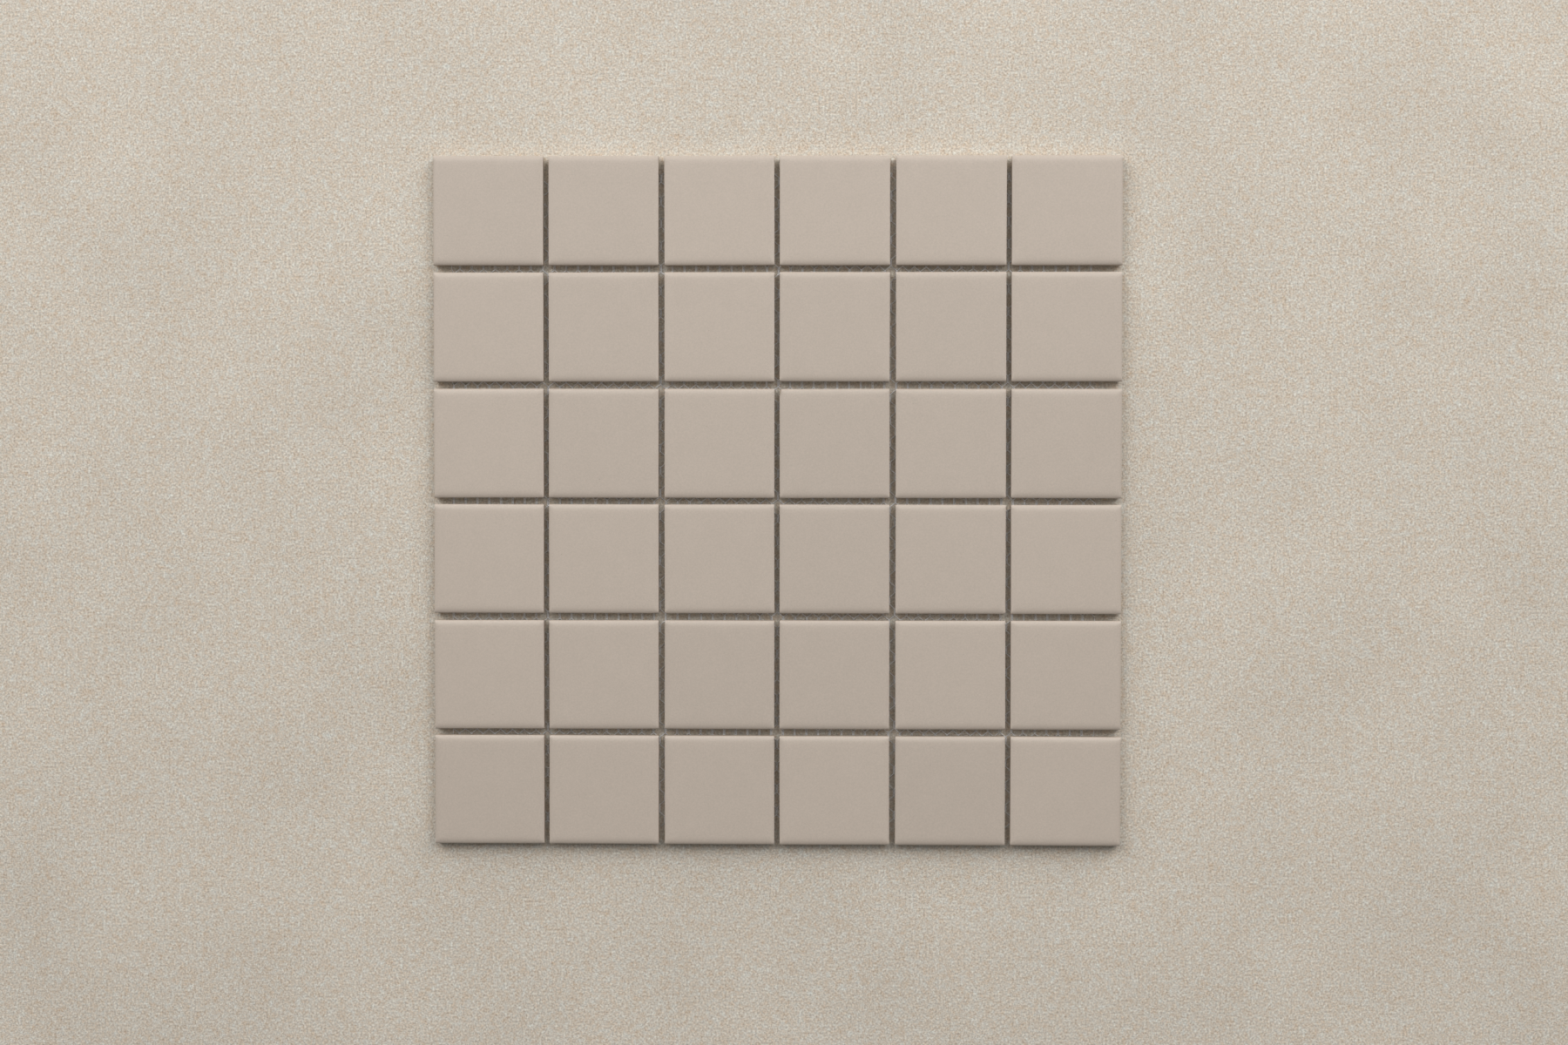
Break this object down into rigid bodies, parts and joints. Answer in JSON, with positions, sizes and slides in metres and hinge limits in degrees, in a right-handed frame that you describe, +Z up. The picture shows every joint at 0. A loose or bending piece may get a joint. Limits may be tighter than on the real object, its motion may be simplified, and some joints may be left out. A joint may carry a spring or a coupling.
{
  "type": "mosaic tile sheet",
  "caption": "Square sheet of small square beige mosaic tiles with cushioned edges and a satin glaze, held at even open joints by a knitted net on their backs.",
  "frame": {"origin": "middle of the sheet on the underside of the backing net, where it rests", "axes": "+X to the right and +Y to the far side when the sheet lies face up, as in the picture; +Z up, out of the glazed faces"},
  "size_m": [0.3029, 0.304, 0.0064],
  "materials": {
    "glazed_tile": "satin",
    "net_thread": "matte"
  },
  "bodies": {
    "root": {"tile_r1_c1": "glazed_tile", "tile_r1_c2": "glazed_tile", "tile_r1_c3": "glazed_tile", "tile_r1_c4": "glazed_tile", "tile_r1_c5": "glazed_tile", "tile_r1_c6": "glazed_tile", "tile_r2_c1": "glazed_tile", "tile_r2_c2": "glazed_tile", "tile_r2_c3": "glazed_tile", "tile_r2_c4": "glazed_tile", "tile_r2_c5": "glazed_tile", "tile_r2_c6": "glazed_tile", "tile_r3_c1": "glazed_tile", "tile_r3_c2": "glazed_tile", "tile_r3_c3": "glazed_tile", "tile_r3_c4": "glazed_tile", "tile_r3_c5": "glazed_tile", "tile_r3_c6": "glazed_tile", "tile_r4_c1": "glazed_tile", "tile_r4_c2": "glazed_tile", "tile_r4_c3": "glazed_tile", "tile_r4_c4": "glazed_tile", "tile_r4_c5": "glazed_tile", "tile_r4_c6": "glazed_tile", "tile_r5_c1": "glazed_tile", "tile_r5_c2": "glazed_tile", "tile_r5_c3": "glazed_tile", "tile_r5_c4": "glazed_tile", "tile_r5_c5": "glazed_tile", "tile_r5_c6": "glazed_tile", "tile_r6_c1": "glazed_tile", "tile_r6_c2": "glazed_tile", "tile_r6_c3": "glazed_tile", "tile_r6_c4": "glazed_tile", "tile_r6_c5": "glazed_tile", "tile_r6_c6": "glazed_tile", "net_threads_right": "net_thread", "net_threads_left": "net_thread"}
  },
  "joints": []
}
